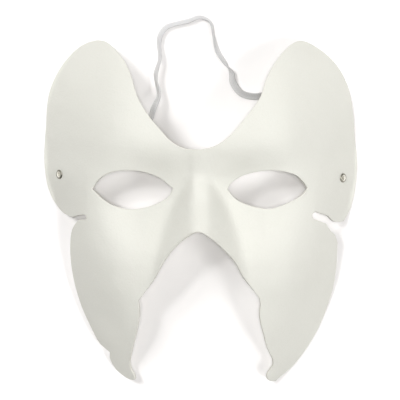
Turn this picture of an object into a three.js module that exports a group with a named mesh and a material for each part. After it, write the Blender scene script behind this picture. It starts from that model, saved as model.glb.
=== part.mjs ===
// A papier-mache butterfly half mask, lying face up on a table.
// One thin pulp sheet, two hollow metal eyelets and a flat elastic strap.
// Millimetres, +Z up, +X to the right and +Y towards the upper wings.

import * as THREE from 'three';

// Driving dimensions of the sheet
const SHEET_THICKNESS = 1.4;
const CROWN_HEIGHT = 44.4;
const FRONT_RADIUS = 500;
const TABLE_HEIGHT = 0;

// The sides fold down to the temples from this half width, which narrows below the eyes
const FOLD_HALF_WIDTH = 48;
const FOLD_ROUNDING = 10.8;
const FOLD_TAPER = 0.17;
const FOLD_TAPER_START = -6;
const FOLD_TAPER_ROUNDING = 6;
const SIDE_SLOPE = 1;
const SIDE_SLOPE_CHEEK = 0.02;
const CHEEK_RANGE = [-40, 0];
const SIDE_SLOPE_TOP = 0.22;
const TOP_RANGE = [20, 80];

// The forehead and the chin end fall away
const FOREHEAD_START = 25;
const FOREHEAD_RADIUS = 71;
const CHIN_START = -12;
const CHIN_RADIUS = 139;
const END_ROUNDING = 4;

// The brow steps down to the eyes, and the cheeks come half of that back up
const BROW_DEPTH = 12;
const BROW_RANGE = [-5.5, 36];
const BROW_END_RANGE = [32.4, 62.8];
const CHEEK_SHARE = 0.73;
const CHEEK_RISE_RANGE = [-35.6, 2.6];

// The nose is a roof with a narrow flat ridge
const NOSE_X = -0.6;
const RIDGE_HALF_WIDTH = 3.9;
const NOSE_ROOT = 8.6;
const NOSE_SPREAD = 3;
const FLANK_SLOPE = 1.33;
const FLANK_ROUNDING = 2.4;
const RIDGE_ROUNDING = 2;

// Soft swells: height, then place and size in x and y
const CHEEK_SWELL = [0.9, 45.8, 12.2, -45.9, 10.9];
const EYE_CORNER_HOLLOW = [-1.8, 23, 8.4, 12.4, 8.3];

// The upper wings' lower lobes sag to the table beside the slots
const LOBE_SAG_LEFT = 6;
const LOBE_SAG_RIGHT = 3;
const LOBE_RANGE_X = [60, 82];
const LOBE_RANGE_Y = [-6, 16];
const SLOT_INNER_X = 60;
const SLOT_Y = -8.4;
const SLOT_SLOPE = -0.3;

// The rim levels out over the table and rests there on a flat foot of this width.
// The foot reaches as far round the rim as the sheet stays under the foot's height.
const RIM_HEIGHT = 1.1;
const RIM_ROUNDING = 0.5;
const FOOT_WIDTH = 0.8;
const FOOT_HEIGHT = 2.3;

// Mesh steps on the sheet: inside it, along its long edges and along short, detailed ones
const GRID_STEP = 4.2;
const GRID_MARGIN = 2.5;
const EDGE_STEP = 3;
const DETAIL_STEP = 1.7;
const DETAIL_LENGTH = 30;

// Eyelets
const EYELET_LEFT = [-77, 13.9];
const EYELET_RIGHT = [77.1, 12];
const EYELET_BORE_RADIUS = 1.15;
const EYELET_SHANK_RADIUS = 1.5;
const EYELET_FLANGE_RADIUS = 2.5;
const EYELET_FLANGE_THICKNESS = 0.6;
const EYELET_ROLL = 0.25;
const EYELET_SIDES = 20;
const HOLE_SIDES = 12;
const CLEARANCE = 0.3;

// Elastic strap
const STRAP_WIDTH = 4;
const STRAP_THICKNESS = 1;
const STRAP_FACE_SHARE = 0.8;
const STRAP_STEPS = 80;

const PAPER_COLOR = 0xecebdf;
const METAL_COLOR = 0xb9b9b4;
const ELASTIC_COLOR = 0xf1f1ef;

// Edge runs of the sheet, anticlockwise seen from the front.
// Each run starts where the one before it ends, with a corner between them.
const EDGE_RUNS = [
  // Left upper wing, from the brow notch over the top to the slot
  [
    [-0.1, 26.3], [-8.5, 26.9], [-15.3, 30.4], [-21, 36.4], [-28.6, 45.7], [-34, 55.6],
    [-37.9, 67.9], [-43.6, 77.9], [-53, 86.4], [-63.8, 85.1], [-75.1, 74.5], [-82.7, 59.2],
    [-84.8, 39.6], [-85.4, 18.7], [-82.5, 4], [-76, -6.2], [-69.8, -9.4],
  ],
  // Left slot
  [[-69.8, -9.4], [-65.9, -8.3], [-62.9, -7.9]],
  [[-62.9, -7.9], [-61.7, -8.3], [-61.4, -9.3], [-61.8, -10.3], [-62.9, -10.5]],
  [[-62.9, -10.5], [-66.1, -10.6]],
  // Left lower wing, with the ledge and the hooked tip of a torn mould edge
  [
    [-66.1, -10.6], [-69.5, -15.7], [-70.9, -25.4], [-69.7, -40.8], [-65.6, -56.4], [-59.6, -70.1],
    [-55.3, -77.9], [-49.7, -82.8],
  ],
  [
    [-49.7, -82.8], [-49.7, -86.4], [-46.9, -91.8], [-41.9, -96.2], [-38.5, -97.8], [-36.2, -97.5],
    [-36.5, -95.3], [-38.3, -91.5], [-38.8, -87.3],
  ],
  [[-38.8, -87.3], [-37.3, -80.7], [-34.3, -68.9], [-33, -60.6], [-33.3, -53.6]],
  // Arch over the mouth
  [
    [-33.3, -53.6], [-26.4, -43.6], [-18.3, -29.3], [-9.9, -20.4], [-1.8, -16.3], [6.8, -20.6],
    [13.9, -27.2], [18.6, -32.8], [22.9, -40.8], [31, -52.2],
  ],
  // Right lower wing
  [[31, -52.2], [31.6, -55.2], [31.3, -61.8], [33.8, -72.6], [35.7, -79.2], [39, -86.5]],
  [[39, -86.5], [39.1, -89.7], [36, -95.1], [36.8, -98.1], [40.6, -98.9]],
  [[40.6, -98.9], [51.8, -88.6], [64.4, -69.1], [72.6, -45.3], [74.2, -23.4]],
  [[74.2, -23.4], [72.4, -18.9], [70, -16.7], [67.3, -12.7]],
  // Right slot
  [[67.3, -12.7], [60.8, -10.4]],
  [[60.8, -10.4], [59.7, -9.4], [59.5, -7.5], [61.4, -6.3]],
  [[61.4, -6.3], [68.7, -8.6]],
  // Right upper wing, back over the top to the brow notch
  [[68.7, -8.6], [71.7, -11.4], [75, -12], [77.7, -11.7]],
  [
    [77.7, -11.7], [81, -6], [83.7, 3.8], [85.2, 19.3], [84, 34], [83.1, 47.5],
    [80.2, 61.9], [72.5, 75.6], [58.5, 85.6], [52.2, 86.1], [43.4, 78.7], [35.3, 66],
    [31.1, 54.2], [23.1, 42.9], [13.6, 32.3], [6.2, 27.6], [-0.1, 26.3],
  ],
];

// Eye holes: an upper and a lower lid line between two sharp corners
const LEFT_EYE_RUNS = [
  [[-58.4, 5.8], [-54.7, 10.9], [-48.8, 14.3], [-41.4, 15.5], [-32.4, 15.1], [-22.5, 12], [-15, 6.1]],
  [[-15, 6.1], [-17.2, 1.9], [-25.1, -2.6], [-37.6, -4.9], [-47.2, -2.6], [-52.7, 0.7], [-58.4, 5.8]],
];
const RIGHT_EYE_RUNS = [
  [[56.9, 6.4], [54.5, 3.2], [45.5, -1.9], [35.6, -4.6], [23.1, -1.9], [17.8, 1.1], [14, 5.7]],
  [[14, 5.7], [16, 9], [22.2, 12.9], [36.5, 15.6], [49.8, 13.4], [54.5, 9.7], [56.9, 6.4]],
];

// Route of the strap from the left eyelet to the right one: x, y, lift above
// the table, and roll of the band in degrees, where 0 lies flat and 90 stands on edge
const STRAP_ROUTE = [
  [-75.5, 16.3, 5.6, 49], [-75.3, 19.5, 5.4, 50], [-74.6, 25, 5, 54], [-70.5, 30.5, 6.1, 64],
  [-64, 34, 8.7, 74], [-54, 35, 12, 76], [-43, 34.5, 14.8, 72], [-34, 37.3, 16, 60],
  [-27.8, 43, 15.4, 44], [-25.6, 49.5, 12.2, 42], [-23, 57.2, 6.3, 58], [-24.4, 64.4, 4.6, 72],
  [-24.6, 68.8, 5, 52], [-22.7, 75.8, 4, 66], [-22.6, 80.8, 1.2, 64], [-22.9, 84.3, 0, 60],
  [-22.3, 89.6, 0, 46], [-19.2, 94.1, 0, 46], [-13, 96.3, 0, 52], [-7.5, 97.5, 0, 52],
  [0, 99.8, 0, 62], [5.1, 97.1, 0, 74], [6.8, 90, 0, 78], [9, 81.5, 0, 48],
  [13.2, 74.6, 0.1, 60], [16.5, 69.6, 0.1, 128], [17.5, 64, 0, 155], [22, 58.3, 0, 155],
  [29.2, 56.5, 0, 152], [36, 57.5, 0, 145], [45, 56.8, 0, 125], [54, 52.5, 0.1, 105],
  [62, 46.5, 0.1, 90], [68.5, 38.5, 0.3, 76], [72.5, 31, 1.4, 62], [74.8, 23.5, 3.6, 54],
  [75.4, 17.8, 5.1, 50], [75.6, 14.4, 5.4, 49],
];

function smoothStep([from, to], value) {
  const t = THREE.MathUtils.clamp((value - from) / (to - from), 0, 1);
  return t * t * (3 - 2 * t);
}

// Rises from 0 to a straight slope of 1, with a rounded bend
function bend(value, rounding) {
  return 0.5 * (Math.hypot(value, rounding) + value);
}

function swell([height, centreX, sizeX, centreY, sizeY], absX, y) {
  return height * Math.exp(-(((absX - centreX) / sizeX) ** 2) - ((y - centreY) / sizeY) ** 2);
}

function isAboveSlot(x, y) {
  return y > SLOT_Y + SLOT_SLOPE * (Math.abs(x) - SLOT_INNER_X);
}

// Height of the sheet's face over the table
function sheetHeight(x, y, aboveSlot) {
  const absX = Math.abs(x);
  const fold = FOLD_HALF_WIDTH - FOLD_TAPER * bend(FOLD_TAPER_START - y, FOLD_TAPER_ROUNDING);
  const slope = SIDE_SLOPE + SIDE_SLOPE_CHEEK * (1 - smoothStep(CHEEK_RANGE, y))
    - SIDE_SLOPE_TOP * smoothStep(TOP_RANGE, y);
  let z = CROWN_HEIGHT - absX ** 2 / (2 * FRONT_RADIUS);
  z -= slope * (bend(absX - fold, FOLD_ROUNDING) - bend(-fold, FOLD_ROUNDING));
  z -= bend(y - FOREHEAD_START, END_ROUNDING) ** 2 / (2 * FOREHEAD_RADIUS);
  z -= bend(CHIN_START - y, END_ROUNDING) ** 2 / (2 * CHIN_RADIUS);

  const browWidth = 1 - smoothStep(BROW_END_RANGE, absX);
  const cheekRise = 1 - CHEEK_SHARE * (1 - smoothStep(CHEEK_RISE_RANGE, y));
  z -= BROW_DEPTH * (1 - smoothStep(BROW_RANGE, y)) * cheekRise * browWidth;

  const noseX = Math.abs(x - NOSE_X);
  const flankFoot = RIDGE_HALF_WIDTH + NOSE_SPREAD * Math.sqrt(bend(NOSE_ROOT - y, FLANK_ROUNDING));
  z += FLANK_SLOPE
    * (bend(flankFoot - noseX, FLANK_ROUNDING) - bend(RIDGE_HALF_WIDTH - noseX, RIDGE_ROUNDING));

  z += swell(CHEEK_SWELL, absX, y) + swell(EYE_CORNER_HOLLOW, absX, y);
  if (aboveSlot) {
    const sag = x < 0 ? LOBE_SAG_LEFT : LOBE_SAG_RIGHT;
    z -= sag * smoothStep(LOBE_RANGE_X, absX) * (1 - smoothStep(LOBE_RANGE_Y, y));
  }
  return RIM_HEIGHT + bend(z - RIM_HEIGHT, RIM_ROUNDING);
}

// Point on the sheet's face and the outward normal there
function sheetFrame(x, y) {
  const above = isAboveSlot(x, y);
  const delta = 0.2;
  const slopeX = (sheetHeight(x + delta, y, above) - sheetHeight(x - delta, y, above)) / (2 * delta);
  const slopeY = (sheetHeight(x, y + delta, above) - sheetHeight(x, y - delta, above)) / (2 * delta);
  return {
    point: new THREE.Vector3(x, y, sheetHeight(x, y, above)),
    normal: new THREE.Vector3(-slopeX, -slopeY, 1).normalize(),
  };
}

// Points along a chain of edge runs, without the last one, which is the first again
function chainPoints(runs) {
  const points = [];
  for (const run of runs) {
    const curve = new THREE.CatmullRomCurve3(run.map(([x, y]) => new THREE.Vector3(x, y, 0)));
    const length = curve.getLength();
    const step = length < DETAIL_LENGTH ? DETAIL_STEP : EDGE_STEP;
    const count = Math.max(1, Math.round(length / step));
    for (const point of curve.getSpacedPoints(count).slice(0, count)) {
      points.push(new THREE.Vector2(point.x, point.y));
    }
  }
  return points;
}

function circlePoints([centreX, centreY], radius, sides) {
  const points = [];
  for (let i = 0; i < sides; i += 1) {
    const angle = (i / sides) * 2 * Math.PI;
    points.push(new THREE.Vector2(centreX + radius * Math.cos(angle), centreY + radius * Math.sin(angle)));
  }
  return points;
}

function isInside(loop, x, y) {
  let inside = false;
  for (let i = 0, j = loop.length - 1; i < loop.length; j = i, i += 1) {
    const a = loop[i];
    const b = loop[j];
    if ((a.y > y) !== (b.y > y) && x < ((b.x - a.x) * (y - a.y)) / (b.y - a.y) + a.x) {
      inside = !inside;
    }
  }
  return inside;
}

function distanceToLoop(loop, x, y) {
  let best = Infinity;
  for (let i = 0, j = loop.length - 1; i < loop.length; j = i, i += 1) {
    const a = loop[j];
    const b = loop[i];
    const lengthSquared = (b.x - a.x) ** 2 + (b.y - a.y) ** 2;
    const t = THREE.MathUtils.clamp(
      ((x - a.x) * (b.x - a.x) + (y - a.y) * (b.y - a.y)) / lengthSquared, 0, 1);
    best = Math.min(best, Math.hypot(x - a.x - t * (b.x - a.x), y - a.y - t * (b.y - a.y)));
  }
  return best;
}

// Bowyer-Watson triangulation of plane points, as triples of indices
function triangulate(points) {
  const reach = 1000;
  const all = points.concat([
    new THREE.Vector2(-reach, -reach), new THREE.Vector2(reach, -reach), new THREE.Vector2(0, reach),
  ]);
  const circumscribe = (a, b, c) => {
    const [p, q, r] = [all[a], all[b], all[c]];
    const area = 2 * (p.x * (q.y - r.y) + q.x * (r.y - p.y) + r.x * (p.y - q.y));
    const x = (p.lengthSq() * (q.y - r.y) + q.lengthSq() * (r.y - p.y) + r.lengthSq() * (p.y - q.y)) / area;
    const y = (p.lengthSq() * (r.x - q.x) + q.lengthSq() * (p.x - r.x) + r.lengthSq() * (q.x - p.x)) / area;
    return { corners: [a, b, c], x, y, radius: Math.hypot(p.x - x, p.y - y) };
  };
  let triangles = [circumscribe(points.length, points.length + 1, points.length + 2)];
  points.forEach((point, index) => {
    const hit = (t) => Math.hypot(point.x - t.x, point.y - t.y) < t.radius;
    const rim = new Map();
    for (const { corners } of triangles.filter(hit)) {
      for (let k = 0; k < 3; k += 1) {
        const [a, b] = [corners[k], corners[(k + 1) % 3]];
        if (!rim.delete(`${b},${a}`)) rim.set(`${a},${b}`, [a, b]);
      }
    }
    triangles = triangles.filter((t) => !hit(t));
    for (const [a, b] of rim.values()) triangles.push(circumscribe(a, b, index));
  });
  return triangles.map((t) => t.corners).filter((corners) => Math.max(...corners) < points.length);
}

// The inner border of the flat foot, one point beside each low point of the outline
function footPoints(outline) {
  return outline.map((point, i) => {
    const along = outline[(i + 1) % outline.length].clone().sub(outline.at(i - 1)).normalize();
    return new THREE.Vector2(point.x - along.y * FOOT_WIDTH, point.y + along.x * FOOT_WIDTH);
  }).filter(({ x, y }) => sheetFrame(x, y).point.z < FOOT_HEIGHT);
}

// The sheet: one outline with holes, filled with a triangular grid, raised to its shape
// and given its thickness behind
function buildSheet() {
  const outline = chainPoints(EDGE_RUNS);
  const holes = [
    chainPoints(LEFT_EYE_RUNS),
    chainPoints(RIGHT_EYE_RUNS),
    circlePoints(EYELET_LEFT, EYELET_SHANK_RADIUS + CLEARANCE, HOLE_SIDES),
    circlePoints(EYELET_RIGHT, EYELET_SHANK_RADIUS + CLEARANCE, HOLE_SIDES),
  ];
  const loops = [outline, ...holes];
  const isSheet = (x, y) => isInside(outline, x, y) && !holes.some((hole) => isInside(hole, x, y));

  const plan = [...loops.flat(), ...footPoints(outline)];
  const box = new THREE.Box2().setFromPoints(outline);
  const rowStep = GRID_STEP * Math.sqrt(0.75);
  for (let row = 0; box.min.y + row * rowStep < box.max.y; row += 1) {
    for (let x = box.min.x + (row % 2) * (GRID_STEP / 2); x < box.max.x; x += GRID_STEP) {
      const y = box.min.y + row * rowStep;
      if (isSheet(x, y) && loops.every((loop) => distanceToLoop(loop, x, y) > GRID_MARGIN)) {
        plan.push(new THREE.Vector2(x, y));
      }
    }
  }

  const faces = triangulate(plan).filter((corners) => {
    const [a, b, c] = corners.map((index) => plan[index]);
    return isSheet((a.x + b.x + c.x) / 3, (a.y + b.y + c.y) / 3);
  });

  const front = [];
  const back = [];
  for (const { x, y } of plan) {
    const { point, normal } = sheetFrame(x, y);
    const behind = point.clone().addScaledVector(normal, -SHEET_THICKNESS);
    front.push(point.x, point.y, point.z);
    back.push(behind.x, behind.y, Math.max(behind.z, TABLE_HEIGHT));
  }

  const count = plan.length;
  const index = [];
  const openEdges = new Map();
  for (const [a, b, c] of faces) {
    index.push(a, b, c, c + count, b + count, a + count);
    for (const [from, to] of [[a, b], [b, c], [c, a]]) {
      if (!openEdges.delete(`${to},${from}`)) openEdges.set(`${from},${to}`, [from, to]);
    }
  }
  for (const [from, to] of openEdges.values()) {
    index.push(from, from + count, to + count, from, to + count, to);
  }
  const geometry = new THREE.BufferGeometry();
  geometry.setAttribute('position', new THREE.Float32BufferAttribute(front.concat(back), 3));
  geometry.setIndex(index);
  geometry.computeVertexNormals();
  return geometry;
}

// A hollow rivet: flange, shank and clinched back flange, turned about its bore
function buildEyelet() {
  const frontLow = CLEARANCE;
  const frontHigh = frontLow + EYELET_FLANGE_THICKNESS;
  const backHigh = -SHEET_THICKNESS - 2 * CLEARANCE - STRAP_THICKNESS;
  const backLow = backHigh - EYELET_FLANGE_THICKNESS;
  const profile = [
    [EYELET_BORE_RADIUS, backLow + EYELET_ROLL],
    [EYELET_BORE_RADIUS + EYELET_ROLL, backLow],
    [EYELET_FLANGE_RADIUS - EYELET_ROLL, backLow],
    [EYELET_FLANGE_RADIUS, backHigh - EYELET_ROLL],
    [EYELET_FLANGE_RADIUS - EYELET_ROLL, backHigh],
    [EYELET_SHANK_RADIUS, backHigh],
    [EYELET_SHANK_RADIUS, frontLow],
    [EYELET_FLANGE_RADIUS - EYELET_ROLL, frontLow],
    [EYELET_FLANGE_RADIUS, frontLow + EYELET_ROLL],
    [EYELET_FLANGE_RADIUS - EYELET_ROLL, frontHigh],
    [EYELET_BORE_RADIUS + EYELET_ROLL, frontHigh],
    [EYELET_BORE_RADIUS, frontHigh - EYELET_ROLL],
    [EYELET_BORE_RADIUS, backLow + EYELET_ROLL],
  ];
  return new THREE.LatheGeometry(profile.map(([r, h]) => new THREE.Vector2(r, h)), EYELET_SIDES);
}

// The strap's middle line. Its band is rolled about that line by a given angle at each point.
class StrapPath extends THREE.CatmullRomCurve3 {
  computeFrenetFrames(segments) {
    const tangents = [];
    const normals = [];
    const binormals = [];
    for (let i = 0; i <= segments; i += 1) {
      const tangent = this.getTangentAt(i / segments);
      const place = this.getUtoTmapping(i / segments) * (STRAP_ROUTE.length - 1);
      const before = Math.min(Math.floor(place), STRAP_ROUTE.length - 2);
      const roll = THREE.MathUtils.degToRad(
        THREE.MathUtils.lerp(STRAP_ROUTE[before][3], STRAP_ROUTE[before + 1][3], place - before));
      const level = new THREE.Vector3(tangent.y, -tangent.x, 0).normalize();
      const normal = level.applyAxisAngle(tangent, -roll);
      tangents.push(tangent);
      normals.push(normal);
      binormals.push(new THREE.Vector3().crossVectors(tangent, normal));
    }
    return { tangents, normals, binormals };
  }
}

// A band with no lift has its lower edge on the table, so its middle is higher the more it is rolled
function strapPoint([x, y, lift, rollDegrees]) {
  const roll = THREE.MathUtils.degToRad(rollDegrees);
  const halfHeight = (STRAP_WIDTH * Math.sin(roll) + STRAP_THICKNESS * Math.abs(Math.cos(roll))) / 2;
  return new THREE.Vector3(x, y, TABLE_HEIGHT + halfHeight + lift);
}

function buildStrap() {
  const halfWidth = STRAP_WIDTH / 2;
  const halfThickness = STRAP_THICKNESS / 2;
  const faceHalfWidth = halfWidth * STRAP_FACE_SHARE;
  const section = new THREE.Shape([
    new THREE.Vector2(halfWidth, -halfThickness / 2),
    new THREE.Vector2(halfWidth, halfThickness / 2),
    new THREE.Vector2(faceHalfWidth, halfThickness),
    new THREE.Vector2(-faceHalfWidth, halfThickness),
    new THREE.Vector2(-halfWidth, halfThickness / 2),
    new THREE.Vector2(-halfWidth, -halfThickness / 2),
    new THREE.Vector2(-faceHalfWidth, -halfThickness),
    new THREE.Vector2(faceHalfWidth, -halfThickness),
  ]);
  const path = new StrapPath(STRAP_ROUTE.map(strapPoint));
  return new THREE.ExtrudeGeometry(section, { steps: STRAP_STEPS, extrudePath: path });
}

function namedMesh(name, geometry, color, roughness, metalness) {
  const mesh = new THREE.Mesh(geometry, new THREE.MeshStandardMaterial({ color, roughness, metalness }));
  mesh.name = name;
  return mesh;
}

function placedEyelet(name, [x, y]) {
  const mesh = namedMesh(name, buildEyelet(), METAL_COLOR, 0.3, 1);
  const { point, normal } = sheetFrame(x, y);
  mesh.position.copy(point);
  mesh.quaternion.setFromUnitVectors(new THREE.Vector3(0, 1, 0), normal);
  return mesh;
}

const body = new THREE.Group();
body.add(namedMesh('mask_shell', buildSheet(), PAPER_COLOR, 0.7, 0));
body.add(placedEyelet('eyelet_left', EYELET_LEFT));
body.add(placedEyelet('eyelet_right', EYELET_RIGHT));

// The origin is on the table, under the middle of the sheet and its eyelets
const bodyBox = new THREE.Box3().setFromObject(body, true);
const middle = bodyBox.getCenter(new THREE.Vector3());

const mask = new THREE.Group();
mask.add(body);
mask.add(namedMesh('elastic_strap', buildStrap(), ELASTIC_COLOR, 0.85, 0));
mask.position.set(-middle.x, -middle.y, -bodyBox.min.z);

export default mask;
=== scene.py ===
import math

import bpy
import numpy as np
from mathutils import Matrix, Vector, geometry, noise


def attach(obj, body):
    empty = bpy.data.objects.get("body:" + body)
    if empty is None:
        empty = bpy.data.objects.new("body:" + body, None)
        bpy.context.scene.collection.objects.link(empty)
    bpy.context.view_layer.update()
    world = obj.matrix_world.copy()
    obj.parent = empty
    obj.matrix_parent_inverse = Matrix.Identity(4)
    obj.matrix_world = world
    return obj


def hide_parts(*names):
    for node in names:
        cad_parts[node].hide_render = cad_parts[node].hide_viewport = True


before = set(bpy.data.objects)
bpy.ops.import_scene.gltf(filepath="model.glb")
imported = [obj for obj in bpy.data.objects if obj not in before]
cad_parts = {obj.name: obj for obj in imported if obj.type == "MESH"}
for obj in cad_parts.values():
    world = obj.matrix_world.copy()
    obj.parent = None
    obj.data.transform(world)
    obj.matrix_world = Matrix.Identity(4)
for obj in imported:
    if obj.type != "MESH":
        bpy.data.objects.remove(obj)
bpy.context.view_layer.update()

# Camera
# It looks straight down on the mask, which lies face up on a table, from the height
# that gives the photograph's slight perspective.
CAMERA_HEIGHT = 1.1
CAMERA_PLACE = (-0.0004, 0.00605)
MID_HEIGHT = 0.034
VIEW_WIDTH = 0.212
SENSOR_WIDTH = 36

camera_data = bpy.data.cameras.new("camera")
camera_data.sensor_width = SENSOR_WIDTH
camera_data.lens = SENSOR_WIDTH * (CAMERA_HEIGHT - MID_HEIGHT) / VIEW_WIDTH
camera = bpy.data.objects.new("camera", camera_data)
camera.location = (*CAMERA_PLACE, CAMERA_HEIGHT)
bpy.context.scene.collection.objects.link(camera)
bpy.context.scene.camera = camera

# Elastic strap
# One length of narrow flat white elastic, braided from cotton-covered rubber threads.
# Its ends are caught behind the mask under the two eyelets, and the slack lies loose.

# Its other sizes in millimetres, as are all those of the sheet and the eyelets
STRAP_WIDTH = 4
STRAP_THICKNESS = 1
STRAP_STEP = 0.28
STRAP_SIDES = 44
BAND_SQUARENESS = 0.55
LOWEST_POINT = 0.01

# Ribs along the band, the braid's slanting threads over them, and the knobs they make at its edges
STRAP_RIBS = 6
RIB_DEPTH = 0.07
BRAID_PITCH = 1.5
BRAID_DEPTH = 0.05
BRAID_SLANT = 2.2
EDGE_KNOBS = 0.06
EDGE_KNOBS_SHARPNESS = 6

# Painted shade: the band darkens by this share towards one edge, the edge in shade, between these parts of
# its half width. Between these shares of its length it darkens fully, and stays so up to the right eyelet,
# as that end lies in the right wing's shadow.
PAINTED_SHADE_EDGE = (0.1, 0.75)
PAINTED_SHADE_EDGE_SHARE = 0.5
PAINTED_SHADE_END = (0.65, 0.76)

# Colour of the threads, the painted shade of the grooves between them, and what the painted shade at one
# edge and the right end and soil take off
THREAD_WHITE = (0.81, 0.81, 0.81)
GROOVE_PAINTED_SHADE = (0.62, 0.62, 0.63)
PAINTED_SHADE_TINT = (0.72, 0.72, 0.72)
SOIL_TINT = (0.93, 0.92, 0.9)

# Where the sheet's own zero lies, in millimetres from the origin on the table
SHEET_ZERO = (0.196, 6.053, 0)

# x, y, lift above the table, and roll of the band in degrees from lying flat
STRAP_ROUTE = [
    (-75.5, 16.3, 5.6, 49), (-75.3, 19.5, 5.4, 50), (-74.6, 25, 5, 54), (-70.5, 30.5, 6.1, 64),
    (-64, 34, 8.7, 74), (-54, 35, 12, 76), (-43, 34.5, 14.8, 72), (-34, 37.3, 16, 60),
    (-27.8, 43, 15.4, 44), (-25.6, 49.5, 12.2, 42), (-23, 57.2, 6.3, 58), (-24.4, 64.4, 4.6, 72),
    (-24.6, 68.8, 5, 52), (-22.7, 75.8, 4, 66), (-22.6, 80.8, 1.2, 64), (-22.9, 84.3, 0, 60),
    (-22.3, 89.6, 0, 46), (-19.2, 94.1, 0, 46), (-13, 96.3, 0, 52), (-7.5, 97.5, 0, 52),
    (0, 99.8, 0, 62), (5.1, 97.1, 0, 74), (6.8, 90, 0, 78), (9, 81.5, 0, 48),
    (13.2, 74.6, 0.1, 60), (16.5, 69.6, 0.1, 128), (17.5, 64, 0, 155), (22, 58.3, 0, 155),
    (29.2, 56.5, 0, 152), (36, 57.5, 0, 145), (45, 56.8, 0, 125), (54, 52.5, 0.1, 105),
    (62, 46.5, 0.1, 90), (68.5, 38.5, 0.3, 76), (72.5, 31, 1.4, 62), (74.8, 23.5, 3.6, 54),
    (75.4, 17.8, 5.1, 50), (75.6, 14.4, 5.4, 49),
]


# Steps on a rounded line from each given point to the next
CURVE_STEPS = 40


def smooth_line(points, spacing):
    """Evenly spaced points on a rounded line through the given ones, and each one's place in that list."""
    points = np.array(points, float)
    padded = np.vstack([2 * points[0] - points[1], points, 2 * points[-1] - points[-2]])
    t = np.linspace(0, 1, CURVE_STEPS, endpoint=False)[:, None]
    line, place = [], []
    for i in range(len(points) - 1):
        before, start, end, after = padded[i : i + 4]
        pairs = ((before, start), (start, end), (end, after))
        gap_in, gap, gap_out = (np.linalg.norm(b - a) ** 0.5 for a, b in pairs)
        way_in = ((start - before) / gap_in - (end - before) / (gap_in + gap) + (end - start) / gap) * gap
        way_out = ((end - start) / gap - (after - start) / (gap + gap_out) + (after - end) / gap_out) * gap
        line.append(
            (2 * t**3 - 3 * t**2 + 1) * start + (t**3 - 2 * t**2 + t) * way_in
            + (3 * t**2 - 2 * t**3) * end + (t**3 - t**2) * way_out
        )
        place.append(i + t[:, 0])
    line = np.vstack([*line, points[-1:]])
    place = np.append(np.concatenate(place), len(points) - 1)
    along = np.append(0, np.cumsum(np.linalg.norm(np.diff(line, axis=0), axis=1)))
    count = max(1, round(along[-1] / spacing))
    even = np.linspace(0, along[-1], count + 1)
    columns = [np.interp(even, along, line[:, k]) for k in range(line.shape[1])]
    return np.stack(columns, 1), np.interp(even, along, place)


def new_piece(name, points, faces):
    """A smooth-shaded mesh object from points in millimetres on the sheet's own axes."""
    mesh = bpy.data.meshes.new(name)
    mesh.from_pydata(((points + SHEET_ZERO) / 1000).tolist(), [], faces)
    mesh.shade_smooth()
    piece = bpy.data.objects.new(name, mesh)
    bpy.context.scene.collection.objects.link(piece)
    return piece


def set_attribute(piece, name, values):
    """A number at each point of the mesh, for its material."""
    attribute = piece.data.attributes.new(name, "FLOAT", "POINT")
    attribute.data.foreach_set("value", np.asarray(values, np.float32))


def ring_faces(rings, sides):
    """Quads between rings of points, one ring after the other."""
    faces = []
    for i in range(rings - 1):
        for j in range(sides):
            k = (j + 1) % sides
            faces.append((i * sides + j, i * sides + k, (i + 1) * sides + k, (i + 1) * sides + j))
    return faces


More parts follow.
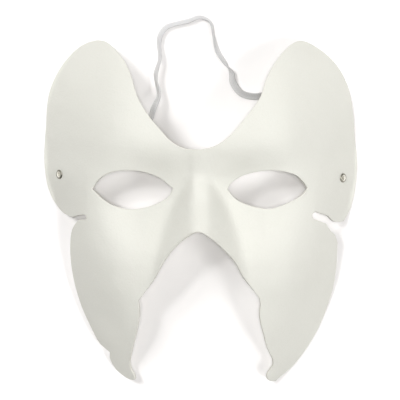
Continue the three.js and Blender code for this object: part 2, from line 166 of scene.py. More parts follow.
def build_strap():
    """The band follows its route, rolled by the stated angles, ribbed along and braided across."""
    rolls = np.radians([p[3] for p in STRAP_ROUTE])
    middle_height = (STRAP_WIDTH * np.sin(rolls) + STRAP_THICKNESS * np.abs(np.cos(rolls))) / 2
    route = [(x, y, h + lift) for (x, y, lift, _), h in zip(STRAP_ROUTE, middle_height)]
    line, place = smooth_line(route, STRAP_STEP)
    roll = np.interp(place, range(len(rolls)), rolls)[:, None]
    ahead = np.gradient(line, axis=0)
    ahead /= np.linalg.norm(ahead, axis=1)[:, None]
    level = np.stack([ahead[:, 1], -ahead[:, 0], 0 * ahead[:, 0]], 1)
    level /= np.linalg.norm(level, axis=1)[:, None]
    across = level * np.cos(roll) - np.cross(ahead, level) * np.sin(roll)
    through = np.cross(ahead, across)

    # Round the band, edge runs from -1 at one edge to 1 at the other, and face does from face to face
    angle = np.linspace(0, 2 * math.pi, STRAP_SIDES, endpoint=False)
    edge = np.sign(np.cos(angle)) * np.abs(np.cos(angle)) ** BAND_SQUARENESS
    face = np.sign(np.sin(angle)) * np.abs(np.sin(angle)) ** BAND_SQUARENESS
    along = np.arange(len(line))[:, None] * STRAP_STEP
    rib = 0.5 - 0.5 * np.cos(edge * math.pi * STRAP_RIBS)
    turn = 2 * math.pi * along / BRAID_PITCH
    braid = 0.5 + 0.5 * np.cos(turn + np.sign(face) * np.abs(edge) * BRAID_SLANT * math.pi)
    thread = (RIB_DEPTH * rib + BRAID_DEPTH * braid) * np.abs(face)
    knobs = EDGE_KNOBS * (0.5 + 0.5 * np.cos(turn)) * np.abs(edge) ** EDGE_KNOBS_SHARPNESS
    half_thickness = STRAP_THICKNESS / 2 - RIB_DEPTH - BRAID_DEPTH
    offset_across = edge * (STRAP_WIDTH / 2 - EDGE_KNOBS + knobs)
    offset_through = face * half_thickness + np.sign(face) * thread
    points = (
        line[:, None]
        + across[:, None] * offset_across[..., None]
        + through[:, None] * offset_through[..., None]
    )
    points = points.reshape(-1, 3)
    points[:, 2] = np.maximum(points[:, 2], LOWEST_POINT)
    faces = ring_faces(len(line), STRAP_SIDES)
    last = (len(line) - 1) * STRAP_SIDES
    faces.append(tuple(reversed(range(STRAP_SIDES))))
    faces.append(tuple(range(last, last + STRAP_SIDES)))
    piece = new_piece("elastic_braid", points, faces)
    set_attribute(piece, "thread", (thread / (RIB_DEPTH + BRAID_DEPTH)).ravel())
    share = along / along[-1]
    # Painted shade: darker towards one edge, and fully so from part way along up to the right eyelet
    painted_shade = PAINTED_SHADE_EDGE_SHARE * np.clip((edge - PAINTED_SHADE_EDGE[0]) / (PAINTED_SHADE_EDGE[1] - PAINTED_SHADE_EDGE[0]), 0, 1)
    painted_shade = painted_shade + np.clip((share - PAINTED_SHADE_END[0]) / (PAINTED_SHADE_END[1] - PAINTED_SHADE_END[0]), 0, 1)
    set_attribute(piece, "painted_shade", np.minimum(painted_shade, 1).ravel())
    return piece, (line + SHEET_ZERO) / 1000


# The mottle's inputs with the values they have until a material sets its own, and its middle grey
MOTTLE_INPUTS = {"Scale": 100.0, "Detail": 3.0, "Offset": 0.0, "Contrast": 2.0}
MOTTLE_MIDDLE = 0.5


def mottle_group():
    """Soft cloudy variation over a surface, from 0 to 1, made once and used by each finish."""
    tree = bpy.data.node_groups.new("soft_mottle", "ShaderNodeTree")
    for name, value in MOTTLE_INPUTS.items():
        socket = tree.interface.new_socket(name, in_out="INPUT", socket_type="NodeSocketFloat")
        socket.default_value = value
    tree.interface.new_socket("Mask", in_out="OUTPUT", socket_type="NodeSocketFloat")
    nodes, links = tree.nodes, tree.links
    inputs = nodes.new("NodeGroupInput")
    place = nodes.new("ShaderNodeTexCoord")
    cloud = nodes.new("ShaderNodeTexNoise")
    cloud.noise_dimensions = "4D"
    links.new(place.outputs["Object"], cloud.inputs["Vector"])
    links.new(inputs.outputs["Scale"], cloud.inputs["Scale"])
    links.new(inputs.outputs["Detail"], cloud.inputs["Detail"])
    links.new(inputs.outputs["Offset"], cloud.inputs["W"])
    centred = nodes.new("ShaderNodeMath")
    centred.operation = "SUBTRACT"
    links.new(cloud.outputs["Fac"], centred.inputs[0])
    centred.inputs[1].default_value = MOTTLE_MIDDLE
    spread = nodes.new("ShaderNodeMath")
    spread.operation = "MULTIPLY_ADD"
    spread.use_clamp = True
    links.new(centred.outputs[0], spread.inputs[0])
    links.new(inputs.outputs["Contrast"], spread.inputs[1])
    spread.inputs[2].default_value = MOTTLE_MIDDLE
    outputs = nodes.new("NodeGroupOutput")
    links.new(spread.outputs[0], outputs.inputs["Mask"])
    return tree


SOFT_MOTTLE = mottle_group()


def mottle(material, scale, detail, offset, contrast):
    """Places the mottle in a material and gives its mask."""
    node = material.node_tree.nodes.new("ShaderNodeGroup")
    node.node_tree = SOFT_MOTTLE
    for name, value in zip(MOTTLE_INPUTS, (scale, detail, offset, contrast)):
        node.inputs[name].default_value = value
    return node.outputs["Mask"]


def new_material(name):
    """A material with only its surface shader, and that shader."""
    material = bpy.data.materials.new(name)
    material.use_nodes = True
    return material, material.node_tree.nodes["Principled BSDF"]


def attribute_value(material, name):
    """The number that a mesh holds at each point."""
    node = material.node_tree.nodes.new("ShaderNodeAttribute")
    node.attribute_name = name
    return node.outputs["Fac"]


def find_socket(sockets, identifier):
    """The one of a node's sockets that has this identifier."""
    return next(socket for socket in sockets if socket.identifier == identifier)


def blend(material, share, first, second, kind="MIX"):
    """A colour between two, by a share. Each colour is fixed or comes from another node."""
    node = material.node_tree.nodes.new("ShaderNodeMix")
    node.data_type = "RGBA"
    node.blend_type = kind
    links = material.node_tree.links
    for name, value in (("Factor_Float", share), ("A_Color", first), ("B_Color", second)):
        socket = find_socket(node.inputs, name)
        if isinstance(value, bpy.types.NodeSocket):
            links.new(value, socket)
        elif isinstance(value, tuple):
            socket.default_value = (*value, 1)
        else:
            socket.default_value = value
    return find_socket(node.outputs, "Result_Color")


def darken(material, color, tint):
    """A colour multiplied by a tint."""
    return blend(material, 1.0, color, tint, "MULTIPLY")


def spread_range(material, value, low, high):
    """A mask from 0 to 1 taken to another range."""
    node = material.node_tree.nodes.new("ShaderNodeMapRange")
    material.node_tree.links.new(value, node.inputs["Value"])
    node.inputs["To Min"].default_value = low
    node.inputs["To Max"].default_value = high
    return node.outputs["Result"]


def bump(material, shader, height, distance):
    """Fine relief from a height mask, as deep as the given metres."""
    node = material.node_tree.nodes.new("ShaderNodeBump")
    node.inputs["Strength"].default_value = 1
    node.inputs["Distance"].default_value = distance
    material.node_tree.links.new(height, node.inputs["Height"])
    material.node_tree.links.new(node.outputs["Normal"], shader.inputs["Normal"])


def elastic_material():
    """White braided elastic, with painted shade in the grooves between the threads, towards one edge and
    over the right end, and a dull, soft surface.
    """
    material, shader = new_material("braided_elastic")
    links = material.node_tree.links
    # Painted shade: the grooves between the threads are greyer than the thread tops
    color = blend(material, attribute_value(material, "thread"), GROOVE_PAINTED_SHADE, THREAD_WHITE)
    # Painted shade towards one edge and over the right end
    painted_shade = attribute_value(material, "painted_shade")
    color = blend(material, painted_shade, color, darken(material, color, PAINTED_SHADE_TINT))
    soil = mottle(material, scale=160, detail=3, offset=4, contrast=1.6)
    color = blend(material, soil, color, darken(material, color, SOIL_TINT))
    links.new(color, shader.inputs["Base Color"])
    fibre = mottle(material, scale=4200, detail=2, offset=7, contrast=2)
    links.new(spread_range(material, fibre, low=0.78, high=0.92), shader.inputs["Roughness"])
    shader.inputs["Specular IOR Level"].default_value = 0.25
    shader.inputs["Sheen Weight"].default_value = 0.15
    bump(material, shader, fibre, distance=0.00004)
    return material


strap, strap_line = build_strap()
strap.data.materials.append(elastic_material())
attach(strap, "root")
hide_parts("elastic_strap")

# Mask sheet
# One sheet of white paper pulp, pressed over a face mould and dried hard, then trimmed
# and primed. Its face is nearly smooth, its hollow back rough with fibres, its cut rim raw.
SHEET_THICKNESS = 1.4
CROWN_HEIGHT = 44.4
FRONT_RADIUS = 500

# The eyelets' holes, and the shallow dimple that each eyelet presses round its own
EYELET_PLACES = {"left": (-77, 13.9), "right": (77.1, 12)}
EYELET_HOLE_RADIUS = 1.62
EYELET_HOLE_SIDES = 16
EYELET_DIMPLE = 0.22
EYELET_DIMPLE_SIZE = 3.6

# Points of the mesh: along the edges, in rows close beside them, and in an even grid of triangles
# further in. A row's point is left out where an edge is nearer than this share of the row's distance.
RIM_STEP = 1.0
RIM_ROWS = (0.12, 0.3, 0.75)
ROW_CLEARANCE = 0.93
GRID_STEP = 1.2
GRID_ROW_STEP = GRID_STEP * math.sqrt(0.75)
GRID_MARGIN = 0.45

# The fill first covers all that lies within the outermost points, and takes points this close for one
FILL_ALL = 0
SAME_POINT = 1e-5

# The cut rim is worn round, bare of primer and a little frayed
FACE_EDGE_ROUNDING = 0.12
BACK_EDGE_ROUNDING = 0.15
EDGE_ROUNDING_WIDTH = 0.3
RAW_RIM_RANGE = (0.1, 0.7)
RIM_FRAY = 0.08

# The sides fold down to the temples from this half width, which narrows below the eyes
FOLD_HALF_WIDTH = 48
FOLD_ROUNDING = 10.8
FOLD_TAPER = 0.17
FOLD_TAPER_START = -6
FOLD_TAPER_ROUNDING = 6
SIDE_SLOPE = 1
SIDE_SLOPE_CHEEK = 0.02
CHEEK_RANGE = (-40, 0)
SIDE_SLOPE_TOP = 0.22
TOP_RANGE = (20, 80)

# The forehead and the chin end fall away
FOREHEAD_START = 25
FOREHEAD_RADIUS = 71
CHIN_START = -12
CHIN_RADIUS = 139
END_ROUNDING = 4

# The brow steps down to the eyes, and the cheeks come most of that back up
BROW_DEPTH = 12
BROW_RANGE = (-5.5, 36)
BROW_END_RANGE = (32.4, 62.8)
CHEEK_SHARE = 0.73
CHEEK_RISE_RANGE = (-35.6, 2.6)

# The nose is a roof with a narrow flat ridge
NOSE_X = -0.6
RIDGE_HALF_WIDTH = 3.9
NOSE_ROOT = 8.6
NOSE_SPREAD = 3
FLANK_SLOPE = 1.33
FLANK_ROUNDING = 2.4
RIDGE_ROUNDING = 2

# Soft swells and hollows: height, place and size in x, then place and size in y. The first two are
# the same on both sides, and the bump stands where the nose starts, a little to the left.
CHEEK_SWELL = (0.9, 45.8, 12.2, -45.9, 10.9)
EYE_CORNER_HOLLOW = (-1.8, 23, 8.4, 12.4, 8.3)
NOSE_BUMP = (1.3, -3.4, 3.8, 8, 4.6)

# The worn mould lets the brow rise a little further
BROW_RISE = 1.6
BROW_RISE_Y = (11, 28)
BROW_RISE_SIDE = (32, 58)

# The pulp's lumps on the face, the back and the cut rim: height and size of each
FACE_LUMPS = ((0.26, 21), (0.1, 8), (0.03, 3))
BACK_LUMPS = ((0.16, 7), (0.11, 2.8))
RIM_LUMPS = ((0.05, 1.6),)

# Seed of the first lump size on each. It shifts the lumps to another part of the noise.
FACE_SEED = 1
BACK_SEED = 4
RIM_SEED = 6
SEED_SHIFT = (17.3, 5.7, 11.1)
NOISE_GAIN = 1.6

# Over this range of distance from an edge the lumps grow to their full height
LUMPS_RANGE = (0, 2.5)

# The upper wings' lower lobes sag to the table beside the slots, and the rim levels out there. A
# line along the slots tells the lobes from the lower wings.
LOBE_SAG_LEFT = 6
LOBE_SAG_RIGHT = 3
LOBE_RANGE_X = (60, 82)
LOBE_RANGE_Y = (-6, 16)
SLOT_INNER_X = 60
SLOT_Y = -8.4
SLOT_SLOPE = -0.3
RIM_HEIGHT = 1.1
RIM_ROUNDING = 0.5

# Edge runs of the sheet, anticlockwise seen from the front, with a corner between each two
EDGE_RUNS = [
    # Left upper wing, from the brow notch over the top to the slot
    [
        (-0.1, 26.3), (-8.5, 26.9), (-15.3, 30.4), (-21, 36.4), (-28.6, 45.7), (-34, 55.6),
        (-37.9, 67.9), (-43.6, 77.9), (-53, 86.4), (-63.8, 85.1), (-75.1, 74.5), (-82.7, 59.2),
        (-84.8, 39.6), (-85.4, 18.7), (-82.5, 4), (-76, -6.2), (-69.8, -9.4),
    ],
    # Left slot
    [(-69.8, -9.4), (-65.9, -8.3), (-62.9, -7.9)],
    [(-62.9, -7.9), (-61.7, -8.3), (-61.4, -9.3), (-61.8, -10.3), (-62.9, -10.5)],
    [(-62.9, -10.5), (-66.1, -10.6)],
    # Left lower wing, with the ledge and the hooked tip of a torn mould edge
    [
        (-66.1, -10.6), (-69.5, -15.7), (-70.9, -25.4), (-69.7, -40.8), (-65.6, -56.4), (-59.6, -70.1),
        (-55.3, -77.9), (-49.7, -82.8),
    ],
    [
        (-49.7, -82.8), (-49.7, -86.4), (-46.9, -91.8), (-41.9, -96.2), (-38.5, -97.8), (-36.2, -97.5),
        (-36.5, -95.3), (-38.3, -91.5), (-38.8, -87.3),
    ],
    [(-38.8, -87.3), (-37.3, -80.7), (-34.3, -68.9), (-33, -60.6), (-33.3, -53.6)],
    # Arch over the mouth
    [
        (-33.3, -53.6), (-26.4, -43.6), (-18.3, -29.3), (-9.9, -20.4), (-1.8, -16.3), (6.8, -20.6),
        (13.9, -27.2), (18.6, -32.8), (22.9, -40.8), (31, -52.2),
    ],
    # Right lower wing
    [(31, -52.2), (31.6, -55.2), (31.3, -61.8), (33.8, -72.6), (35.7, -79.2), (39, -86.5)],
    [(39, -86.5), (39.1, -89.7), (36, -95.1), (36.8, -98.1), (40.6, -98.9)],
    [(40.6, -98.9), (51.8, -88.6), (64.4, -69.1), (72.6, -45.3), (74.2, -23.4)],
    [(74.2, -23.4), (72.4, -18.9), (70, -16.7), (67.3, -12.7)],
    # Right slot
    [(67.3, -12.7), (60.8, -10.4)],
    [(60.8, -10.4), (59.7, -9.4), (59.5, -7.5), (61.4, -6.3)],
    [(61.4, -6.3), (68.7, -8.6)],
    # Right upper wing, back over the top to the brow notch
    [(68.7, -8.6), (71.7, -11.4), (75, -12), (77.7, -11.7)],
    [
        (77.7, -11.7), (81, -6), (83.7, 3.8), (85.2, 19.3), (84, 34), (83.1, 47.5),
        (80.2, 61.9), (72.5, 75.6), (58.5, 85.6), (52.2, 86.1), (43.4, 78.7), (35.3, 66),
        (31.1, 54.2), (23.1, 42.9), (13.6, 32.3), (6.2, 27.6), (-0.1, 26.3),
    ],
]

# Eye holes: an upper and a lower lid line between two sharp corners
LEFT_EYE_RUNS = [
    [(-58.4, 5.8), (-54.7, 10.9), (-48.8, 14.3), (-41.4, 15.5), (-32.4, 15.1), (-22.5, 12), (-15, 6.1)],
    [(-15, 6.1), (-17.2, 1.9), (-25.1, -2.6), (-37.6, -4.9), (-47.2, -2.6), (-52.7, 0.7), (-58.4, 5.8)],
]
RIGHT_EYE_RUNS = [
    [(56.9, 6.4), (54.5, 3.2), (45.5, -1.9), (35.6, -4.6), (23.1, -1.9), (17.8, 1.1), (14, 5.7)],
    [(14, 5.7), (16, 9), (22.2, 12.9), (36.5, 15.6), (49.8, 13.4), (54.5, 9.7), (56.9, 6.4)],
]


def smooth_step(span, value):
    """Rises smoothly from 0 to 1 over the span."""
    t = np.clip((value - span[0]) / (span[1] - span[0]), 0, 1)
    return t * t * (3 - 2 * t)


def bend(value, rounding):
    """Rises from 0 to a straight slope of 1, with a rounded bend."""
    return 0.5 * (np.hypot(value, rounding) + value)


def swell(form, x, y):
    """A soft rounded swell, or a hollow where its height is negative."""
    height, middle_x, size_x, middle_y, size_y = form
    return height * np.exp(-(((x - middle_x) / size_x) ** 2) - ((y - middle_y) / size_y) ** 2)


def sheet_height(x, y, above_slot):
    """Height of the sheet's plain face over the table. Only the lobes above the slots sag."""
    side = np.abs(x)
    fold = FOLD_HALF_WIDTH - FOLD_TAPER * bend(FOLD_TAPER_START - y, FOLD_TAPER_ROUNDING)
    slope = (
        SIDE_SLOPE + SIDE_SLOPE_CHEEK * (1 - smooth_step(CHEEK_RANGE, y))
        - SIDE_SLOPE_TOP * smooth_step(TOP_RANGE, y)
    )
    z = CROWN_HEIGHT - side**2 / (2 * FRONT_RADIUS)
    z = z - slope * (bend(side - fold, FOLD_ROUNDING) - bend(-fold, FOLD_ROUNDING))
    z = z - bend(y - FOREHEAD_START, END_ROUNDING) ** 2 / (2 * FOREHEAD_RADIUS)
    z = z - bend(CHIN_START - y, END_ROUNDING) ** 2 / (2 * CHIN_RADIUS)

    brow = (1 - smooth_step(BROW_RANGE, y)) * (1 - smooth_step(BROW_END_RANGE, side))
    z = z - BROW_DEPTH * brow * (1 - CHEEK_SHARE * (1 - smooth_step(CHEEK_RISE_RANGE, y)))

    nose = np.abs(x - NOSE_X)
    flank_foot = RIDGE_HALF_WIDTH + NOSE_SPREAD * np.sqrt(bend(NOSE_ROOT - y, FLANK_ROUNDING))
    ridge = bend(RIDGE_HALF_WIDTH - nose, RIDGE_ROUNDING)
    z = z + FLANK_SLOPE * (bend(flank_foot - nose, FLANK_ROUNDING) - ridge)

    z = z + swell(CHEEK_SWELL, side, y) + swell(EYE_CORNER_HOLLOW, side, y)
    sag = np.where(x < 0, LOBE_SAG_LEFT, LOBE_SAG_RIGHT) * smooth_step(LOBE_RANGE_X, side)
    z = z - np.where(above_slot, sag * (1 - smooth_step(LOBE_RANGE_Y, y)), 0)
    return RIM_HEIGHT + bend(z - RIM_HEIGHT, RIM_ROUNDING)


def worn_forms(x, y):
    """How far the worn mould lifts the sheet from its plain form."""
    brow = BROW_RISE * smooth_step(BROW_RISE_Y, y) * (1 - smooth_step(BROW_RISE_SIDE, np.abs(x)))
    return swell(NOSE_BUMP, x, y) + brow


# The face's slope at a point is taken over this distance to both sides of it
SLOPE_REACH = 0.2


def sheet_frame(x, y):
    """Points on the sheet's plain face, and its outward normals there."""
    above = y > SLOT_Y + SLOT_SLOPE * (np.abs(x) - SLOT_INNER_X)
    rise_x = sheet_height(x + SLOPE_REACH, y, above) - sheet_height(x - SLOPE_REACH, y, above)
    rise_y = sheet_height(x, y + SLOPE_REACH, above) - sheet_height(x, y - SLOPE_REACH, above)
    slope_x = rise_x / (2 * SLOPE_REACH)
    slope_y = rise_y / (2 * SLOPE_REACH)
    normal = np.stack([-slope_x, -slope_y, 1 + 0 * slope_x], -1)
    normal /= np.linalg.norm(normal, axis=-1, keepdims=True)
    return np.stack([x, y, sheet_height(x, y, above)], -1), normal


def chain(runs, spacing):
    """One closed loop of points from edge runs, with a point on each corner."""
    return np.vstack([smooth_line(run, spacing)[0][:-1] for run in runs])


def circle(middle, radius, sides):
    """Evenly spaced points on a circle."""
    angle = np.linspace(0, 2 * math.pi, sides, endpoint=False)
    return np.stack([middle[0] + radius * np.cos(angle), middle[1] + radius * np.sin(angle)], 1)


def is_inside(loop, points):
    """Which of the points lie inside a closed loop."""
    x, y = points.T
    inside = np.zeros(len(points), bool)
    for (ax, ay), (bx, by) in zip(loop, np.roll(loop, 1, axis=0)):
        if ay != by:
            inside ^= ((ay > y) != (by > y)) & (x < (bx - ax) * (y - ay) / (by - ay) + ax)
    return inside


def distance_to(loops, points):
    """How far each point is from the nearest of the loops."""
    best = np.full(len(points), np.inf)
    for loop in loops:
        for start, end in zip(loop, np.roll(loop, -1, axis=0)):
            run = end - start
            along = np.clip((points - start) @ run / (run @ run), 0, 1)[:, None]
            best = np.minimum(best, np.linalg.norm(points - start - along * run, axis=1))
    return best


def lumps(points, size, seed):
    """Smooth random relief, from about -1 to 1, with lumps of about the given size in millimetres."""
    shift = Vector([seed * step for step in SEED_SHIFT])
    return np.array([noise.noise(Vector(p) / size + shift) for p in points]) * NOISE_GAIN


def relief(points, lump_sizes, first_seed):
    """How high the lumps of all sizes stand together at each point."""
    total = 0
    for seed, (height, size) in enumerate(lump_sizes, first_seed):
        total = total + height * lumps(points, size, seed)
    return total


def is_on_sheet(loops, points):
    """Which of the points lie inside the outline, the first loop, and in none of the holes."""
    inside = is_inside(loops[0], points)
    for hole in loops[1:]:
        inside &= ~is_inside(hole, points)
    return inside


def rim_rows(loops):
    """Rows of points close beside the edges, which let the rim be rounded."""
    rows = []
    for distance in RIM_ROWS:
        for loop in loops:
            tangent = np.roll(loop, -1, axis=0) - np.roll(loop, 1, axis=0)
            tangent /= np.linalg.norm(tangent, axis=1)[:, None]
            sideways = np.stack([-tangent[:, 1], tangent[:, 0]], 1)
            for sign in (-1, 1):
                row = loop + sign * distance * sideways
                row = row[is_on_sheet(loops, row)]
                rows.append(row[distance_to(loops, row) > ROW_CLEARANCE * distance])
    return rows


def inner_grid(loops):
    """Points for even-sided triangles over the rest of the sheet."""
    low, high = loops[0].min(0), loops[0].max(0)
    rows = []
    for i, y in enumerate(np.arange(low[1], high[1], GRID_ROW_STEP)):
        x = np.arange(low[0] + (i % 2) * GRID_STEP / 2, high[0], GRID_STEP)
        rows.append(np.stack([x, np.full(len(x), y)], 1))
    grid = np.vstack(rows)
    grid = grid[is_on_sheet(loops, grid)]
    return grid[distance_to(loops, grid) > RIM_ROWS[-1] + GRID_MARGIN]


def fill_sheet(loops):
    """Points and triangles of the sheet in plan, with the triangles turned to the front."""
    plan = np.vstack([*loops, *rim_rows(loops), inner_grid(loops)])
    edges, start = [], 0
    for loop in loops:
        edges += [(start + i, start + (i + 1) % len(loop)) for i in range(len(loop))]
        start += len(loop)
    filled = geometry.delaunay_2d_cdt([Vector(p) for p in plan], edges, [], FILL_ALL, SAME_POINT)
    plan = np.array([tuple(p) for p in filled[0]])
    faces = np.array(filled[2])
    faces = faces[is_on_sheet(loops, plan[faces].mean(1))]
    corner = plan[faces]
    turn = np.cross(corner[:, 1] - corner[:, 0], corner[:, 2] - corner[:, 0])
    return plan, np.where((turn > 0)[:, None], faces, faces[:, ::-1])


def find_rim(plan, faces):
    """The edges with a triangle on one side only, their points, and the way outward at each point."""
    edges = {}
    for a, b, c in faces.tolist():
        for edge in ((a, b), (b, c), (c, a)):
            if edges.pop(edge[::-1], None) is None:
                edges[edge] = True
    ahead = {a: b for a, b in edges}
    behind = {b: a for a, b in edges}
    rim = sorted(ahead)
    outward = []
    for a in rim:
        run = plan[ahead[a]] - plan[behind[a]]
        outward.append((run[1], -run[0], 0) / np.linalg.norm(run))
    return list(edges), rim, np.array(outward)


def build_sheet():
    """The outline with its holes is filled with fine triangles, raised to the face's form and thickened."""
    loops = [chain(runs, RIM_STEP) for runs in (EDGE_RUNS, LEFT_EYE_RUNS, RIGHT_EYE_RUNS)]
    for place in EYELET_PLACES.values():
        loops.append(circle(place, EYELET_HOLE_RADIUS, EYELET_HOLE_SIDES))
    plan, faces = fill_sheet(loops)

    face, normal = sheet_frame(plan[:, 0], plan[:, 1])
    face[:, 2] += worn_forms(plan[:, 0], plan[:, 1])
    depth = distance_to(loops, plan)
    inner = smooth_step(LUMPS_RANGE, depth)
    rounding = 1 - np.sqrt(1 - (1 - np.minimum(depth / EDGE_ROUNDING_WIDTH, 1)) ** 2)
    dimple = sum(
        EYELET_DIMPLE * np.exp(-(((plan - place) ** 2).sum(1) / EYELET_DIMPLE_SIZE**2))
        for place in EYELET_PLACES.values()
    )
    front_relief = relief(face, FACE_LUMPS, FACE_SEED)
    back_relief = relief(face, BACK_LUMPS, BACK_SEED)
    rise = front_relief * inner - FACE_EDGE_ROUNDING * rounding - dimple
    fall = SHEET_THICKNESS + back_relief * inner - BACK_EDGE_ROUNDING * rounding + dimple
    front = face + normal * rise[:, None]
    back = face - normal * fall[:, None]

    edges, rim, outward = find_rim(plan, faces)
    frayed = RIM_FRAY + relief(face[rim], RIM_LUMPS, RIM_SEED)
    wall = (front[rim] + back[rim]) / 2 + outward * frayed[:, None]

    count = len(plan)
    rim_index = {a: 2 * count + i for i, a in enumerate(rim)}
    polygons = faces.tolist() + (faces[:, ::-1] + count).tolist()
    for a, b in edges:
        polygons.append((a, rim_index[a], rim_index[b], b))
        polygons.append((rim_index[a], a + count, b + count, rim_index[b]))
    points = np.vstack([front, back, wall])
    points[:, 2] = np.maximum(points[:, 2], 0)
    piece = new_piece("paper_sheet", points, polygons)
    # Each runs over the face, the back and the wall, which counts as half back
    raw = 1 - smooth_step(RAW_RIM_RANGE, depth)
    set_attribute(piece, "raw_rim", np.concatenate([raw, raw, np.ones(len(rim))]))
    set_attribute(piece, "back", np.concatenate([np.zeros(count), np.ones(count), np.full(len(rim), 0.5)]))
    return piece


# Darker and lighter colour of the primed paper and of the bare pulp, what a fibre's shade takes off,
# and how much of the bare pulp shows on the back and the cut rim
PRIMED_WHITE = ((0.665, 0.662, 0.608), (0.687, 0.684, 0.633))
BARE_PULP = ((0.54, 0.52, 0.46), (0.66, 0.64, 0.58))
FIBRE_TINT = (0.97, 0.968, 0.96)
BARE_SHARES = {"back": 0.6, "raw_rim": 0.2}


def paper_material():
    """Primed paper pulp: ivory white, a little uneven, dull, with fine fibres and a rawer rim and back."""
    material, shader = new_material("primed_paper_pulp")
    links = material.node_tree.links
    cloud = mottle(material, scale=38, detail=3, offset=1, contrast=1.5)
    color = blend(material, cloud, *PRIMED_WHITE)
    fibre = mottle(material, scale=1100, detail=4, offset=2, contrast=2.2)
    color = blend(material, fibre, darken(material, color, FIBRE_TINT), color)
    bare = blend(material, fibre, *BARE_PULP)
    for part, share in BARE_SHARES.items():
        rawness = spread_range(material, attribute_value(material, part), low=0, high=share)
        color = blend(material, rawness, color, bare)
    links.new(color, shader.inputs["Base Color"])
    links.new(spread_range(material, fibre, low=0.6, high=0.74), shader.inputs["Roughness"])
    shader.inputs["Specular IOR Level"].default_value = 0.35
    bump(material, shader, fibre, distance=0.00006)
    return material


sheet = build_sheet()
sheet.data.materials.append(paper_material())
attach(sheet, "root")
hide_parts("mask_shell")

# Eyelets
# Two small hollow rivets of plated sheet metal, one through each temple. The rolled
# front lip bears on the paper, and the barrel's end is clinched over the elastic behind.
EYELET_SIDES = 72
BORE_RADIUS = 1.15
BORE_STEPS = 10
SHANK_RADIUS = 1.5

# The lip is rolled over and turned under at its edge: steps inward from the edge and up from the foot
LIP_RADIUS = 2.5
LIP_TOP = 0.45
LIP_FOOT = -0.08
LIP_STEPS = 17
LIP_HEM = ((0.1, -0.05), (0.22, 0.1))

# The clinched end is a little narrower than the lip and splits as it is pressed out
CLINCH_TOP = -2.8
CLINCH_FOOT = -3.5
CLINCH_STEPS = 15
CLINCH_NARROWING = 0.08
CLINCH_SPLITS = 6
SPLIT_DEPTH = 0.38
SPLIT_SHARPNESS = 0.35

# Darker and lighter colour of the aged plating, and the pale, dull painted highlight in and round the bore
# up to this distance from the axis
AGED_PLATING = ((0.22, 0.21, 0.17), (0.36, 0.35, 0.3))
BORE_PAINTED_HIGHLIGHT = (0.81, 0.79, 0.71)
PAINTED_HIGHLIGHT_RADIUS = 1.6


def arc(middle, size, start, end, count):
    """Points of a profile, out from the axis and up along it, round a part of an ellipse."""
    angle = np.radians(np.linspace(start, end, count))
    return [(middle[0] + size[0] * math.cos(a), middle[1] + size[1] * math.sin(a)) for a in angle]


def build_eyelet(name, place):
    """A profile is turned about the bore, then stood on the sheet's face."""
    lip_middle = (LIP_RADIUS + BORE_RADIUS) / 2
    lip_width = (LIP_RADIUS - BORE_RADIUS) / 2
    lip_size = (lip_width, LIP_TOP - LIP_FOOT)
    clinch_size = (lip_width - CLINCH_NARROWING, CLINCH_TOP - CLINCH_FOOT)
    lip = arc((lip_middle, LIP_FOOT), lip_size, 180, 0, LIP_STEPS)
    hem = [(LIP_RADIUS - inward, LIP_FOOT + upward) for inward, upward in LIP_HEM]
    shank = [(SHANK_RADIUS, hem[-1][1]), (SHANK_RADIUS, CLINCH_TOP)]
    clinch = arc((lip_middle, CLINCH_TOP), clinch_size, 0, -180, CLINCH_STEPS)
    bore = [(BORE_RADIUS, height) for height in np.linspace(CLINCH_TOP, LIP_FOOT, BORE_STEPS)[1:-1]]
    profile = lip + hem + shank + clinch + bore
    angle = np.linspace(0, 2 * math.pi, EYELET_SIDES, endpoint=False)
    rings = []
    for radius, height in profile:
        reach = np.full(EYELET_SIDES, float(radius))
        if height <= CLINCH_TOP and radius > SHANK_RADIUS:
            split = np.abs(np.sin(angle * CLINCH_SPLITS / 2)) ** SPLIT_SHARPNESS
            reach = SHANK_RADIUS + (radius - SHANK_RADIUS) * (1 - SPLIT_DEPTH + SPLIT_DEPTH * split)
        heights = np.full(EYELET_SIDES, height)
        rings.append(np.stack([reach * np.cos(angle), reach * np.sin(angle), heights], 1))
    points = np.vstack(rings)
    faces = ring_faces(len(rings), EYELET_SIDES)
    first = (len(rings) - 1) * EYELET_SIDES
    for j in range(EYELET_SIDES):
        k = (j + 1) % EYELET_SIDES
        faces.append((first + j, first + k, k, j))
    middle, normal = sheet_frame(np.array(place[0]), np.array(place[1]))
    turn = np.array(Vector((0, 0, 1)).rotation_difference(Vector(normal)).to_matrix())
    piece = new_piece(name, points @ turn.T + middle, [face[::-1] for face in faces])
    radii, heights = np.repeat(np.array(profile), EYELET_SIDES, axis=0).T
    # The bore and its rim carry the painted highlight
    set_attribute(piece, "bore", (radii < PAINTED_HIGHLIGHT_RADIUS) & (heights > CLINCH_FOOT))
    return piece


def plated_material():
    """Plated metal, darkened with age on the lip, with a dull, pale painted highlight in and round the
    bore.
    """
    material, shader = new_material("plated_eyelet_metal")
    links = material.node_tree.links
    aged = mottle(material, scale=900, detail=4, offset=11, contrast=2.4)
    bore = attribute_value(material, "bore")
    color = blend(material, aged, *AGED_PLATING)
    # Painted highlight: the bore is pale and dull
    links.new(blend(material, bore, color, BORE_PAINTED_HIGHLIGHT), shader.inputs["Base Color"])
    links.new(spread_range(material, aged, low=0.42, high=0.26), shader.inputs["Roughness"])
    links.new(spread_range(material, bore, low=1, high=0.1), shader.inputs["Metallic"])
    scratches = mottle(material, scale=5200, detail=2, offset=13, contrast=2)
    bump(material, shader, scratches, distance=0.00001)
    return material


plated = plated_material()
for side, place in EYELET_PLACES.items():
    eyelet = build_eyelet(f"rolled_eyelet_{side}", place)
    eyelet.data.materials.append(plated)
    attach(eyelet, "root")
    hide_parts(f"eyelet_{side}")

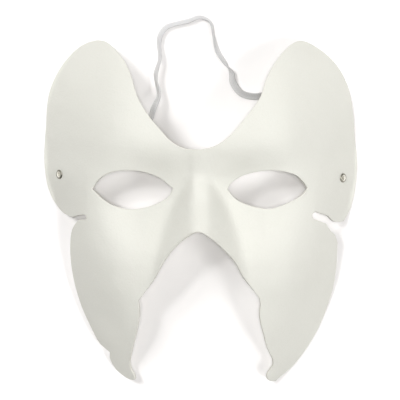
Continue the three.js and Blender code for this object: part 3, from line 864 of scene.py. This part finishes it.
# Table
# A plain white table top, which isn't part of the object. It lies just under the mask,
# so that the two share no plane.
TABLE_REACH = 3
TABLE_DROP = 0.0001
TABLE_WHITE = (0.93, 0.912, 0.905)

table_mesh = bpy.data.meshes.new("table")
corners = [(-1, -1), (1, -1), (1, 1), (-1, 1)]
table_points = [(x * TABLE_REACH, y * TABLE_REACH, -TABLE_DROP) for x, y in corners]
table_mesh.from_pydata(table_points, [], [(0, 1, 2, 3)])
table = bpy.data.objects.new("table", table_mesh)
bpy.context.scene.collection.objects.link(table)
table_material, table_shader = new_material("white_table")
table_shader.inputs["Base Color"].default_value = (*TABLE_WHITE, 1)
table_shader.inputs["Roughness"].default_value = 0.9
table_shader.inputs["Specular IOR Level"].default_value = 0.1
table_mesh.materials.append(table_material)

# Light
# Soft, plain studio light from square boxes 1.8 metres away: one overhead, two at the upper
# left, two at the lower right, and two wide ones low down at the right and the top.
LIGHT_DISTANCE = 1.8
ROOM_WHITE = (1, 1, 1)
ROOM_STRENGTH = 0.02

# Name, degrees down from overhead, degrees round from +X, size in metres and power in watts
SOFT_BOXES = [
    ("overhead_box", 0, 0, 0.15, 11),
    ("upper_left_box", 25, 148, 0.2, 7),
    ("upper_left_wide_box", 38, 143, 0.5, 10.4),
    ("lower_right_box", 34, 331, 0.38, 8),
    ("lower_right_low_box", 57, 321, 0.7, 6.4),
    ("right_low_box", 66, 0, 1, 4.8),
    ("top_low_box", 66, 92, 1.1, 11),
]

for name, tilt, turn, size, power in SOFT_BOXES:
    box = bpy.data.lights.new(name, "AREA")
    box.shape = "SQUARE"
    box.size = size
    box.energy = power
    light = bpy.data.objects.new(name, box)
    light.rotation_euler = (0, math.radians(tilt), math.radians(turn))
    light.location = light.rotation_euler.to_matrix() @ Vector((0, 0, LIGHT_DISTANCE))
    bpy.context.scene.collection.objects.link(light)

world = bpy.data.worlds.new("studio")
bpy.context.scene.world = world
world.use_nodes = True
world.node_tree.nodes["Background"].inputs["Color"].default_value = (*ROOM_WHITE, 1)
world.node_tree.nodes["Background"].inputs["Strength"].default_value = ROOM_STRENGTH

bpy.context.scene.view_settings.view_transform = "Standard"
